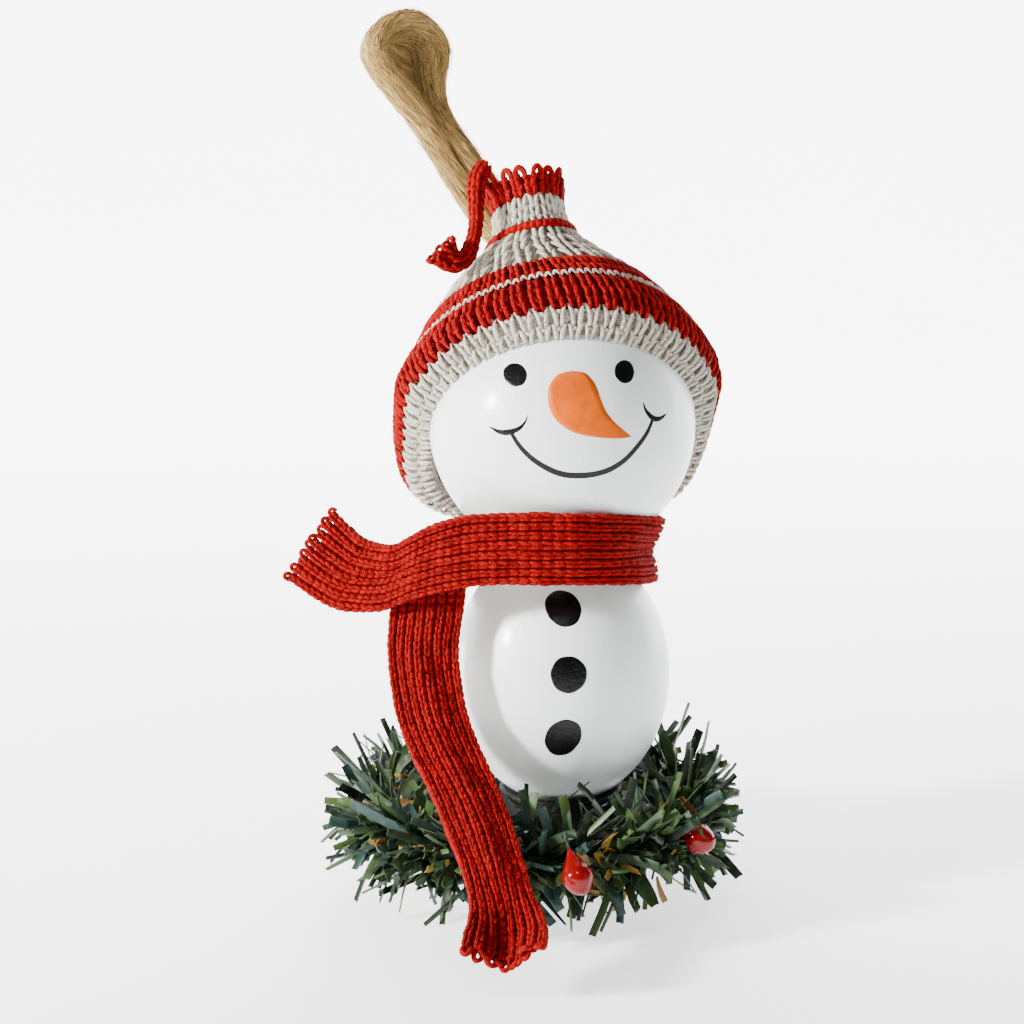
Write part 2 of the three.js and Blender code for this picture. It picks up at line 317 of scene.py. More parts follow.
def jute_hairs(surface, material, count, seed):
    """Fibres that lie along the cord's own surface, and lift off it towards one end."""
    rng = np.random.default_rng(seed)
    rings, sides = surface.shape[:2]
    middle = surface.mean(1, keepdims=True)
    steps = 7
    start = rng.integers(45, rings - 80, count)
    span = rng.integers(10, 34, count)
    column = rng.uniform(0, sides, count)
    slant = rng.normal(-0.20, 0.16, count)
    t = np.linspace(0, 1, steps)
    row = (start[:, None] + span[:, None] * t).astype(int)
    side = np.mod(column[:, None] + slant[:, None] * span[:, None] * t, sides).astype(int)
    ground = surface[row, side]
    outward = unit(ground - middle[row, 0])
    wild = rng.random(count) < 0.22
    lift = np.where(wild, rng.uniform(0.3, 1.5, count), rng.uniform(0.05, 0.35, count)) * MM
    points = ground + outward * (0.04 * MM + lift[:, None] * t ** 2)[..., None]
    points[:, 1:-1] = (points[:, :-2] + points[:, 1:-1] * 2 + points[:, 2:]) / 4
    heading = unit(np.gradient(points, axis=1))
    sideways = unit(np.cross(heading, outward))
    width = rng.uniform(0.06, 0.20, count)[:, None] * MM * (1 - 0.7 * t)
    vertices, faces = tubes(points, 3, sideways, np.cross(sideways, heading), width, 0.8)
    tone = np.repeat(rng.uniform(0.1, 1.3, count), steps * 3)
    return mesh_piece("jute_fibres", vertices, faces, material, tone)


def jute_spread(path, material, count, seed):
    """The inner fibres of the opened bend, that run across behind its hollow, toned paler than the cord
    as painted light on the band's lit inner face.
    """
    rng = np.random.default_rng(seed)
    rings, steps = len(path), 9
    level = (np.arange(count) + rng.normal(0, 1.5, count)) / count
    t = np.linspace(0, 1, steps)[None, :, None]
    left = path[((0.400 + 0.094 * level) * rings).astype(int)] + np.array([0.4, 3.4, 0]) * MM
    right = path[((0.650 - 0.108 * level) * rings).astype(int)] + np.array([-0.6, 1.8, 0]) * MM
    points = left[:, None] * (1 - t) + right[:, None] * t
    points = points + np.sin(math.pi * t) * np.array([0, 2.4, -1.0]) * MM
    points += rng.normal(0, 0.12 * MM, (count, 1, 3)) * np.sin(math.pi * t * 2)
    heading = unit(np.gradient(points, axis=1))
    sideways = unit(np.cross(heading, np.array([0.2, -1.0, 0.1])))
    radii = rng.uniform(0.14, 0.34, (count, 1)) * MM * np.ones((1, steps))
    vertices, faces = tubes(points, 5, sideways, np.cross(sideways, heading), radii, 0.9)
    # Tones above the cord's 0.5 are painted light: the inner face of the band shows lit.
    tone = np.repeat(rng.uniform(0.5, 1.3, count), steps * 5)
    return mesh_piece("jute_spread", vertices, faces, material, tone)


jute = jute_finish()
cord, cord_path, cord_length, cord_surface = jute_cord(jute)
hairs = jute_hairs(cord_surface, jute, 4200, 11)
spread = jute_spread(cord_path, jute, 280, 12)
for piece in (cord, hairs, spread):
    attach(piece, HEAD)
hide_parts("jute_loop")

# ---------------------------------------------------------------------------------------------
# Foot: a short turned wooden plug, painted matt black. Its top is dished to hold the lower ball,
# which is glued into it. Its black also stands in for the shade in the gap under the lower ball.


def select_only(piece=None):
    """Deselects everything but the piece, which becomes the active one."""
    for other in bpy.context.selected_objects:
        other.select_set(False)
    if piece:
        bpy.context.view_layer.objects.active = piece
        piece.select_set(True)


def added(name, operator, **settings):
    """The piece that a primitive operator adds."""
    select_only()
    operator(**settings)
    piece = bpy.context.object
    piece.name = piece.data.name = name
    return piece


def open_for_edit(piece, chosen=lambda face: True):
    """Enters edit mode with the chosen faces selected."""
    select_only(piece)
    bpy.ops.object.mode_set(mode="EDIT")
    bpy.ops.mesh.select_mode(type="FACE")
    bpy.ops.mesh.select_all(action="DESELECT")
    bpy.ops.object.mode_set(mode="OBJECT")
    for face in piece.data.polygons:
        face.select = bool(chosen(face))
    bpy.ops.object.mode_set(mode="EDIT")


def modified(piece, kind, **settings):
    """Adds a modifier to a piece and applies it."""
    select_only(piece)
    modifier = piece.modifiers.new(kind.lower(), kind)
    for setting, value in settings.items():
        setattr(modifier, setting, value)
    bpy.ops.object.modifier_apply(modifier=modifier.name)


def normals_out(piece):
    """Turns every face of a closed piece outwards."""
    open_for_edit(piece)
    bpy.ops.mesh.normals_make_consistent(inside=False)
    bpy.ops.object.mode_set(mode="OBJECT")


def settle(piece, material, sharp=35):
    """Leaves edit mode, puts the piece's place into its mesh, and gives it its finish."""
    if piece.mode == "EDIT":
        bpy.ops.object.mode_set(mode="OBJECT")
    select_only(piece)
    bpy.ops.object.transform_apply(location=True, rotation=True, scale=True)
    bpy.ops.object.shade_smooth_by_angle(angle=math.radians(sharp))
    if not piece.data.materials:
        piece.data.materials.append(material)
    return piece


def black_gloss(name, roughness):
    """Black enamel, brushed on: a little uneven, over fine grain."""
    finish = Finish(name, Specular_IOR_Level=0.22)
    grain = finish.noise(finish.place(), 1100.0, 4.0)
    cloud = finish.noise(finish.place(), 210.0)
    tone = finish.mix(cloud, (0.001, 0.001, 0.001, 1), (0.004, 0.004, 0.005, 1))
    return finish.feed(Base_Color=tone, Roughness=cloud * 0.2 + roughness,
                       Normal=finish.bump(grain, 0.9, 0.12 * MM))


black_paint = black_gloss("black_paint", 0.12)
# The foot's black is its paint, and it is also painted shade under the lower ball.
foot_paint_and_shade = black_gloss("foot_paint_and_shade", 0.5)
foot_low, foot_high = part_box("foot")
foot = added("foot_plug", bpy.ops.mesh.primitive_cylinder_add, vertices=96,
             radius=(foot_high.x - foot_low.x) / 2, depth=foot_high.z - foot_low.z,
             location=(foot_low + foot_high) / 2)
open_for_edit(foot, lambda face: face.normal.z > 0.9)
for inset, sink in ((1.2, -0.2), (3.4, -1.5), (4.0, -1.6), (3.6, -0.7)):
    bpy.ops.mesh.inset(thickness=inset * MM)
    bpy.ops.transform.translate(value=(0, 0, sink * MM))
bpy.ops.object.mode_set(mode="OBJECT")
modified(foot, "BEVEL", width=0.8 * MM, segments=3)
settle(foot, foot_paint_and_shade)
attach(foot, BASE)
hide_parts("foot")

# ---------------------------------------------------------------------------------------------
# Balls: two turned wooden balls, filled, sprayed white and lacquered. The lower one is taller
# than it is wide. Each has a small flat where they meet, and a hole for the neck dowel.

BODY_RADIUS = 27 * MM
BODY_HALF_HEIGHT = 33 * MM
BODY_MIDDLE = 50.5 * MM
BODY_FLAT = 81.6 * MM
HEAD_RADIUS = 32.5 * MM
HEAD_MIDDLE = 112.4 * MM
HEAD_FLAT = 82.1 * MM
DOWEL_HOLE = 4.4 * MM
DOWEL_DEPTH = 12 * MM
CORD_HOLE = 7.1 * MM
CORD_DEPTH = 14 * MM


def white_lacquer():
    """Sprayed white with a fine pimpled skin, a little patchy in its gloss."""
    finish = Finish("white_paint", Specular_IOR_Level=0.5, Coat_Roughness=0.16)
    place = finish.place()
    pimples = finish.noise(place, 1500.0, 3.0, 0.6)
    speckle = finish.noise(place, 2600.0, 2.0, 0.8)
    cloud = finish.noise(place, 38.0, 4.0)
    tone = finish.mix(cloud, (0.83, 0.865, 0.85, 1), (0.74, 0.81, 0.80, 1))
    specks = (speckle * 4.0 - 2.35).clamped() * 0.16
    return finish.feed(Base_Color=finish.mix(specks, tone, (0.38, 0.40, 0.39, 1)),
                       Roughness=cloud * 0.14 + pimples * 0.16 + 0.22,
                       Coat_Weight=cloud * 0.5 + 0.1,
                       Normal=finish.bump(pimples, 0.7, 0.16 * MM))


def turned_ball(name, radius, half_height, middle, cut, way):
    """A ball cut flat where it meets its neighbour, above (way 1) or below (-1), with a round
    hole for the dowel in the flat."""
    ball = added(name, bpy.ops.mesh.primitive_uv_sphere_add, segments=128, ring_count=96,
                 radius=radius, location=(0, 0, middle), scale=(1, 1, half_height / radius))
    settle(ball, white_paint)
    open_for_edit(ball)
    bpy.ops.mesh.bisect(plane_co=(0, 0, cut), plane_no=(0, 0, way), use_fill=True, clear_outer=True)
    bpy.ops.object.mode_set(mode="OBJECT")
    open_for_edit(ball, lambda face: face.normal.z * way > 0.999 and abs(face.center.z - cut) < MM / 20)
    flat_radius = radius * math.sqrt(1 - ((cut - middle) / half_height) ** 2)
    bpy.ops.mesh.inset(thickness=flat_radius - DOWEL_HOLE)
    bpy.ops.mesh.extrude_region_move(TRANSFORM_OT_translate={"value": (0, 0, -way * DOWEL_DEPTH)})
    bpy.ops.object.mode_set(mode="OBJECT")
    return settle(ball, white_paint, 30)


white_paint = white_lacquer()
body_ball = turned_ball("lower_ball", BODY_RADIUS, BODY_HALF_HEIGHT, BODY_MIDDLE, BODY_FLAT, 1)
head_ball = turned_ball("upper_ball", HEAD_RADIUS, HEAD_RADIUS, HEAD_MIDDLE, HEAD_FLAT, -1)

# The wider hole for the jute is sunk into the top of the upper ball.
hole_rim = HEAD_MIDDLE + math.sqrt(HEAD_RADIUS ** 2 - CORD_HOLE ** 2)
open_for_edit(head_ball)
bpy.ops.mesh.bisect(plane_co=(0, 0, hole_rim), plane_no=(0, 0, 1), use_fill=True, clear_outer=True)
bpy.ops.object.mode_set(mode="OBJECT")
open_for_edit(head_ball, lambda face: face.normal.z > 0.999)
bpy.ops.mesh.extrude_region_move(TRANSFORM_OT_translate={"value": (0, 0, -CORD_DEPTH)})
settle(head_ball, white_paint, 30)

for ball, node, body in ((body_ball, "body_ball", BASE), (head_ball, "head_ball", HEAD)):
    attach(ball, body)
    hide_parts(node)

# ---------------------------------------------------------------------------------------------
# Neck dowel: a plain birch peg, hidden in the two balls. It is glued into the lower one, and the
# head turns on it.


def peg_wood():
    """Bare birch with its grain upright."""
    finish = Finish("bare_wood", Specular_IOR_Level=0.3)
    grain = finish.noise(finish.place((900, 900, 60)), 1.0, 4.0)
    tone = finish.mix(grain, (0.50, 0.34, 0.18, 1), (0.66, 0.49, 0.29, 1))
    return finish.feed(Base_Color=tone, Roughness=grain * 0.2 + 0.6,
                       Normal=finish.bump(grain, 0.3, 0.1 * MM))


dowel = bpy.data.objects["neck_dowel"]
dowel.data.materials.clear()
dowel.data.materials.append(peg_wood())

# ---------------------------------------------------------------------------------------------
# Face and buttons: enamel painted on the balls, so thin that it is modelled as films of paint
# that stand 0.06 mm proud: black eyes, mouth and buttons, and an orange carrot nose.

FACE_TURN = math.radians(5)
PAINT_FILM = 0.06 * MM
# Films end in a skirt that dips this share of the way into the ball.
SKIRT_DIP = 2.4 * PAINT_FILM / HEAD_RADIUS
STROKE_POINTS = 90


def on_head(x, z):
    """Points of the paint film at places on the face, seen straight from the front."""
    x, z = np.asarray(x, float) * MM, np.asarray(z, float) * MM
    radius = HEAD_RADIUS + PAINT_FILM
    y = -np.sqrt(radius ** 2 - x ** 2 - z ** 2)
    turned_x = x * math.cos(FACE_TURN) - y * math.sin(FACE_TURN)
    turned_y = x * math.sin(FACE_TURN) + y * math.cos(FACE_TURN)
    return np.stack([turned_x, turned_y, z + HEAD_MIDDLE], -1)


def on_body(x, z):
    """Points of the paint film on the front of the lower ball."""
    x, z = np.asarray(x, float) * MM, np.asarray(z, float) * MM - BODY_MIDDLE
    radius = BODY_RADIUS + PAINT_FILM
    y = -np.sqrt(radius ** 2 - x ** 2 - (z * radius / BODY_HALF_HEIGHT) ** 2)
    return np.stack([x, y, z + BODY_MIDDLE], -1)


def dipped(points, body):
    """Points of a film's edge, moved just under the ball's surface."""
    middle = np.array([0, 0, BODY_MIDDLE if body == BASE else HEAD_MIDDLE])
    return middle + (points - middle) * (1 - SKIRT_DIP)


def finish_paint(piece, body):
    """Turns a film's faces away from its ball and fixes it there."""
    normals_out(piece)
    middle = Vector((0, 0, BODY_MIDDLE if body == BASE else HEAD_MIDDLE))
    face = piece.data.polygons[len(piece.data.polygons) // 2]
    if face.normal.dot(face.center - middle) < 0:
        piece.data.flip_normals()
    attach(piece, body)


def painted_spot(name, place, x, z, half_width, half_height, lean, body):
    """A round of black paint, a little uneven at its edge."""
    rings, sides = 12, 64
    angle = np.linspace(0, 2 * math.pi, sides, endpoint=False)
    reach = np.append(np.linspace(0.02, 1, rings), 1.02)[:, None]
    wobble = 1 + 0.012 * np.sin(3 * angle + x) + 0.008 * np.sin(7 * angle + z)
    across, above = reach * wobble * np.cos(angle), reach * wobble * np.sin(angle)
    vertices = place(x + half_width * across + lean * above, z + half_height * above)
    vertices[-1] = dipped(vertices[-1], body)
    faces = grid_faces(rings + 1, sides, closed=True).tolist()
    faces.append(list(range(sides))[::-1])
    spot = mesh_piece(name, vertices.reshape(-1, 3), faces, black_paint)
    finish_paint(spot, body)


def painted_stroke(name, one_side, other_side, material):
    """Paint between two outlines on the face that meet at their ends."""
    columns = 9
    t = np.linspace(0, 1, columns)[:, None, None]
    one, other = (evenly(smooth_curve(side), STROKE_POINTS)[0] for side in (one_side, other_side))
    plan = one[None] * (1 - t) + other[None] * t
    skirt_one = one + unit(one - other + 1e-6) * 0.03
    skirt_other = other + unit(other - one + 1e-6) * 0.03
    film = on_head(plan[..., 0], plan[..., 1])
    skirts = [dipped(on_head(*skirt.T), HEAD)[None] for skirt in (skirt_one, skirt_other)]
    vertices = np.concatenate([skirts[0], film, skirts[1]]).reshape(-1, 3)
    return mesh_piece(name, vertices, grid_faces(columns + 2, STROKE_POINTS).tolist(), material)


def brushed_line(name, points):
    """A black stroke through points (x, z, width) on the face."""
    line, _ = evenly(smooth_curve(points), STROKE_POINTS)
    heading = unit(np.gradient(line[:, :2], axis=0))
    sideways = np.column_stack([-heading[:, 1], heading[:, 0]]) * line[:, 2:] / 2
    return painted_stroke(name, line[:, :2] + sideways, line[:, :2] - sideways, black_paint)


def carrot_orange():
    """Orange enamel, mottled where the brush left it thin."""
    finish = Finish("orange_paint", Specular_IOR_Level=0.08)
    cloud = finish.noise(finish.place(), 240.0, 5.0, 0.65)
    grain = finish.noise(finish.place(), 1300.0, 3.0)
    tone = (cloud * 2.2 + grain * 0.5 - 0.85).clamped()
    return finish.feed(Base_Color=finish.mix(tone, (0.45, 0.065, 0.0, 1), (0.66, 0.112, 0.0, 1)),
                       Roughness=cloud * 0.2 + 0.3, Normal=finish.bump(grain, 0.3, 0.08 * MM))


NOSE_UPPER = [(-1, 15), (1.7, 14.6), (3.5, 13), (4.6, 11), (5.4, 8.5), (6.6, 5.8), (8.4, 3.5),
              (10.6, 1.6), (12.7, -0.1)]
NOSE_LOWER = [(-1, 15), (-4.4, 14.1), (-6.4, 11.4), (-6.7, 7.9), (-5.5, 4.8), (-3.2, 2.5),
              (0, 0.9), (4.9, 0), (9.9, -0.4), (12.7, -0.1)]
# Black strokes through points (x, z, width), seen from the front.
BLACK_STROKES = {
    "smile": [(-15, 0.9, 0.8), (-13, -2.2, 1.0), (-10.3, -4.9, 1.15), (-6.7, -7.2, 1.3),
              (-3.2, -8.5, 1.35), (0.4, -8.8, 1.35), (4.2, -8.5, 1.3), (7.7, -7.5, 1.25),
              (11.2, -5.4, 1.15), (14.3, -2.3, 1.05), (16.6, 0.6, 0.9), (18.0, 3.4, 0.7)],
    "left_cheek": [(-19.8, 2.1, 0.2), (-17.8, 1.1, 0.9), (-15.8, 1, 1.3), (-13.4, 1.9, 0.9),
                   (-11.9, 3.5, 0.4), (-11.4, 5.1, 0.15)],
    "right_cheek": [(15.7, 7.5, 0.2), (16.4, 5.6, 0.7), (18.2, 3.8, 1.2), (20, 3.6, 1.0),
                    (21.7, 4.5, 0.2)],
}
# Eyes: middle (x, z) and half width. Buttons: middle (x, z), half height and lean.
EYES = {"left_eye": (-13.8, 14.0, 2.6), "right_eye": (11.4, 14.6, 2.4)}
EYE_HALF_HEIGHT = 2.55
BUTTONS = [(-0.1, 70.7, 3.9, -0.6), (1.1, 55.9, 4.3, 0), (-0.1, 40.4, 4.7, 0.8)]
BUTTON_HALF_WIDTH = 4.25

finish_paint(painted_stroke("nose", NOSE_UPPER, NOSE_LOWER, carrot_orange()), HEAD)
for name, points in BLACK_STROKES.items():
    finish_paint(brushed_line(name, points), HEAD)
for name, (x, z, half_width) in EYES.items():
    painted_spot(name, on_head, x, z, half_width, EYE_HALF_HEIGHT, 0, HEAD)
for number, (x, z, half_height, lean) in enumerate(BUTTONS, 1):
    painted_spot(f"button_{number}", on_body, x, z, BUTTON_HALF_WIDTH, half_height, lean, BASE)

# ---------------------------------------------------------------------------------------------
# Hat: a striped machine-knit tube, pulled over the back of the head like a hood and gathered to
# a narrow neck, where its unbound red end stands up as a frill of open loops.

# Loops of the hat's surface from rim to frill: front and back point (y, z), half width, middle x,
# squareness, and how far the left side hangs below the middle. The wool bulges above the rim.
HAT_LOOPS = [
    (-23.6, 134.4, 22.0, 88.6, 31.4, -0.4, 3.6, 0.2),
    (-23.6, 141.4, 31.0, 86.6, 36.8, 0.0, 4.2, 0.6),
    (-19.5, 148.6, 41.0, 103.0, 33.8, -2.0, 3.0, 2.6),
    (-14.2, 152.8, 39.0, 124.0, 26.0, -4.6, 2.4, 3.0),
    (-9.0, 156.4, 30.0, 142.0, 16.6, -6.6, 2.2, 2.2),
    (-5.6, 160.6, 21.0, 150.5, 9.8, -6.9, 2.0, 1.6),
    (-4.0, 167.6, 17.5, 160.0, 8.0, -7.8, 2.0, 1.2),
    (-4.6, 174.8, 19.5, 168.5, 10.0, -9.2, 2.0, 0.6),
]
HAT_BULGE = 2.4
FRILL_START = 6.0
FRILL_RUFFLES = 7
HAT_TURN = math.radians(6)


def cubic_through(table, at):
    """Rows of a table smoothly interpolated at any numbers between them."""
    table = np.vstack([2 * table[0] - table[1], table, 2 * table[-1] - table[-2]])
    at = np.clip(np.asarray(at, float), 0, len(table) - 3 - 1e-6)
    k = at.astype(int)
    t = (at - k)[..., None]
    a, b, c, d = (table[k + i] for i in range(4))
    return 0.5 * (2 * b + (c - a) * t + (2 * a - 5 * b + 4 * c - d) * t ** 2
                  + (3 * b - a - 3 * c + d) * t ** 3)


def hat_surface(u, v):
    """The hat's outside at u round it from the front (0 to 1) and v from rim (0) to frill (7)."""
    front_y, front_z, back_y, back_z, half, middle, square, drop = np.moveaxis(
        cubic_through(np.array(HAT_LOOPS), v), -1, 0)
    half = half + HAT_BULGE * np.exp(-((v - 1.45) / 0.42) ** 2)
    angle = 2 * math.pi * u
    cosine, sine = np.cos(angle), np.sin(angle)
    behind = np.clip(0.5 - 1.2 * cosine, 0, 1)
    power = 2 + (square - 2) * behind
    reach = (np.abs(cosine) ** power + np.abs(sine) ** power) ** (-1 / power)
    along = -cosine * reach
    across = sine * reach
    x = middle + half * across
    y = (front_y + back_y) / 2 + (back_y - front_y) / 2 * along
    z = (front_z + back_z) / 2 + (back_z - front_z) / 2 * along
    z = z + drop * sine
    ruffle = np.clip(v - FRILL_START, 0, 1) * 0.7 * np.cos(angle * FRILL_RUFFLES)
    x = x + ruffle * sine
    y = y - ruffle * cosine
    cos_t, sin_t = math.cos(HAT_TURN), math.sin(HAT_TURN)
    return np.stack([x * cos_t - y * sin_t, x * sin_t + y * cos_t, z], -1) * MM


def outward(surface, u, v):
    """Unit normals of a surface, by small steps along it."""
    step = 1e-3
    du = surface(u + step, v) - surface(u - step, v)
    dv = surface(u, v + step) - surface(u, v - step)
    return unit(np.cross(du, dv))


def yarn_on(surface, lines, radii, flat=0.85, sides=8, plies=0.12):
    """Yarn laid on a surface: lines is (how many, points, (u, v, height in mm))."""
    u, v, height = np.moveaxis(lines, -1, 0)
    normal = outward(surface, u, v)
    centres = surface(u, v) + normal * height[..., None] * MM
    along = unit(np.gradient(centres, axis=1))
    across = unit(np.cross(normal, along))
    return tubes(centres, sides, across, np.cross(along, across), radii * MM, flat, plies)


def chevrons(wales, low, high, legs, overlap=0.22):
    """The two legs of every stitch in one round, that lean together towards their tops. legs is
    how far apart they stand below and above, how thick they are and how far they stand out."""
    spread, tip, thick, height = legs
    t = np.linspace(0, 1, 6)
    wale = (np.arange(wales) + 0.5) / wales
    rows = high - low
    lines, radii = [], []
    for side in (-1, 1):
        jitter = hat_rng.normal(0, 0.02, (wales, 2))
        u = side * (tip + (spread - tip) * (1 - t) ** 0.8 + 0.05 * np.sin(math.pi * t))
        u = wale[:, None] + (u[None] + jitter[:, :1]) / wales
        v = low - overlap * rows + (1 + overlap + 0.12) * rows * t[None] + jitter[:, 1:] * rows
        rise = height * (0.35 + 0.9 * np.sin(math.pi * np.clip(t * 0.95 + 0.08, 0, 1)))
        lines.append(np.stack([u, v, np.broadcast_to(rise, u.shape)], -1))
        uneven = 1 + hat_rng.normal(0, 0.05, (wales, 1))
        radii.append(thick * (0.62 + 0.42 * np.sin(math.pi * t)) * uneven)
    return np.concatenate(lines), np.concatenate(radii)


def bumps(wales, low, high, thick, height, half, arch=0.25, level=0.55, shift=0.0):
    """The short arches of yarn that show in the furrows between the ribs of one round."""
    t = np.linspace(0, 1, 5)
    wale = (np.arange(wales) + shift) / wales
    u = wale[:, None] + half * (2 * t - 1)[None] / wales
    uneven = hat_rng.normal(0, 0.04, (wales, 1))
    v = low + (high - low) * (level + arch * np.sin(math.pi * t)[None] + uneven)
    rise = np.broadcast_to(height + 0.25 * np.sin(math.pi * t), u.shape)
    radii = np.broadcast_to(thick * (0.7 + 0.35 * np.sin(math.pi * t)), u.shape)
    return np.stack([u, v, rise], -1), radii


def stitch_rounds(wales, edges, legs, arches=None, overlap=0.22):
    """Rounds of stitches between edges, with the arches between their ribs where those show."""
    rounds = []
    for low, high in zip(edges, edges[1:]):
        rounds.append(chevrons(wales, low, high, legs, overlap))
        if arches:
            rounds.append(bumps(wales, low, high, *arches))
    return rounds


def gather(groups, points=6):
    """Lines and radii of several groups, brought to the same number of points."""
    lines, radii = [], []
    old_new = np.linspace(0, 1, points)
    for line, radius in groups:
        old = np.linspace(0, 1, line.shape[1])
        lines.append(np.stack([[np.interp(old_new, old, row[:, i]) for row in line]
                               for i in range(3)], -1))
        radii.append(np.array([np.interp(old_new, old, row) for row in radius]))
    return np.concatenate(lines), np.concatenate(radii)


def wool(name, dark, bright, fuzz):
    """Two-ply acrylic yarn, fuzzy, with its twist and each stitch a little different."""
    finish = Finish(name, Specular_IOR_Level=0.10)
    place = finish.place()
    plies = finish.noise(place, 1500.0, 4.0, 0.75)
    cloud = finish.noise(place, 320.0, 2.0)
    tone = (plies * 2.6 + cloud * 0.5 + finish.attribute("tone") * 0.5 - 1.25).clamped()
    base = finish.mix(tone, dark, bright)
    hairs = (finish.noise(place, 2600.0, 2.0, 0.8) * 6.0 - 3.7).clamped() * 0.5
    return finish.feed(Base_Color=finish.mix(hairs, base, fuzz), Roughness=plies * 0.15 + 0.78,
                       Normal=finish.bump(plies, 1.0, 0.45 * MM))


def shaded_backing(name, surface, u_count, v_values, depth, material):
    """The knit's ground, a thin sheet that lies under the stitches, toned darker than them as painted
    shade in the gaps between them.
    """
    u, v = np.meshgrid(np.linspace(0, 1, u_count, endpoint=False), v_values)
    points = surface(u, v) - outward(surface, u, v) * depth * MM
    # Tone -0.3 is painted shade: the sheet shows darker than the stitches above it.
    return mesh_piece(name, points.reshape(-1, 3), grid_faces(*u.shape, closed=True).tolist(),
                      material, np.full(u.size, -0.3))


def fuzz_on(name, surface, ranges, count, material, seed, reach=1.5, width=0.035):
    """Stray hairs of the yarn, curling up from it."""
    rng = np.random.default_rng(seed)
    t = np.linspace(0, 1, 5)
    u = rng.uniform(ranges[0], ranges[1], (count, 1)) + rng.normal(0, 0.005, (count, 1)) * t
    v = rng.uniform(ranges[2], ranges[3], (count, 1)) + rng.normal(0, 0.10, (count, 1)) * t
    rise = rng.uniform(0.4, reach, (count, 1)) * np.sin(t * rng.uniform(1.2, 3.0, (count, 1))) + 0.6
    radii = np.broadcast_to(width * (1 - 0.6 * t), u.shape)
    vertices, faces = yarn_on(surface, np.stack([u, v, rise], -1), radii, 1.0, 3)
    return mesh_piece(name, vertices, faces, material, np.full(len(vertices), 0.9))


cream_wool = wool("cream_wool", (0.26, 0.22, 0.16, 1), (0.88, 0.84, 0.74, 1), (0.95, 0.92, 0.86, 1))
red_wool = wool("red_wool", (0.09, 0.0, 0.0, 1), (0.48, 0.001, 0.001, 1), (0.70, 0.05, 0.03, 1))
hat_rng = np.random.default_rng(21)

# The knit from rim to frill: a wide cream rim, three red rounds, the thin zigzag stripe, two more
# red rounds, the cream dome that loses wales as it narrows, the cream neck and the red frill.
RIB = 58
FRILL_WALES = 17
cream_rounds = stitch_rounds(RIB, (0.02, 0.48, 1.05), (0.34, 0.08, 0.56, 0.70), (0.50, 0.2, 0.16), 0.08)
red_rounds = stitch_rounds(RIB, (1.06, 1.36, 1.66, 1.98), (0.28, 0.18, 0.62, 0.85), (0.55, 0.1, 0.17))
for shift, level in ((0.0, 0.0), (0.5, 0.30)):
    cream_rounds.append(bumps(RIB, 2.0, 2.12, 0.36, 0.70, 0.20, 1.2, level, shift))
red_rounds += stitch_rounds(RIB, (2.14, 2.52, 2.92), (0.28, 0.17, 0.60, 0.75), (0.55, 0.1, 0.17))
for wales, low, high in ((28, 2.96, 3.38), (26, 3.38, 3.84), (23, 3.84, 4.36), (20, 4.36, 4.92)):
    cream_rounds.append(chevrons(wales, low, high, (0.34, 0.12, 0.62, 0.45)))
cream_rounds += stitch_rounds(20, (5.02, 5.33, 5.66, 6.02), (0.34, 0.08, 0.58, 0.45))
red_rounds += stitch_rounds(FRILL_WALES, (6.06, 6.36, 6.68), (0.32, 0.13, 0.74, 0.5), (0.62, 0.1, 0.2))


def ridge(v_middle, thick):
    """The thin red stripe, where the knit folds over a drawn-in thread like a cord."""
    t = np.linspace(0, 1, 13)
    lengths = 24
    start = np.arange(lengths) / lengths
    u = start[:, None] + (t[None] - 0.02) * 1.06 / lengths
    v = np.full(u.shape, v_middle)
    rise = 0.8 + 0.15 * np.sin(2 * math.pi * (t[None] * 2))
    radii = thick * (1 + 0.10 * np.sin(math.pi * t * 4))
    return np.stack([u, v, np.broadcast_to(rise, u.shape)], -1), np.broadcast_to(radii, u.shape)


def open_loops(wales, v_low, v_high, thick):
    """Unbound stitches: upright loops with a hole in each."""
    t = np.linspace(0, 1, 12)
    angle = math.pi * (1.25 - 1.5 * t)
    wale = (np.arange(wales) + 0.5) / wales
    u = wale[:, None] + 0.27 * np.cos(angle)[None] / wales
    height = hat_rng.uniform(0.8, 1.15, (wales, 1))
    v = v_low + (v_high - v_low) * (0.5 + 0.5 * np.sin(angle)[None]) * height
    rise = np.broadcast_to(hat_rng.normal(0.1, 0.35, (wales, 1)), u.shape)
    return np.stack([u, v, rise], -1), np.full(u.shape, thick)


def knit_piece(name, surface, rounds, material, rng, points=6, flat=0.85, sides=8, palest=0.45):
    """One mesh of all the rounds' yarn, each stitch with a tone of its own."""
    lines, radii = gather(rounds, points)
    vertices, faces = yarn_on(surface, lines, radii, flat, sides)
    tone = np.repeat(rng.uniform(0, palest, len(lines)), points * sides)
    return mesh_piece(name, vertices, faces, material, tone)


edge_lines = [ridge(4.97, 1.0), open_loops(FRILL_WALES, 6.50, 6.92, 0.72)]


hat_cream = knit_piece("hat_cream_stitches", hat_surface, cream_rounds, cream_wool, hat_rng)
hat_red = knit_piece("hat_red_stitches", hat_surface, red_rounds, red_wool, hat_rng)
hat_edges = knit_piece("hat_ridge_and_loops", hat_surface, edge_lines, red_wool, hat_rng, 12)

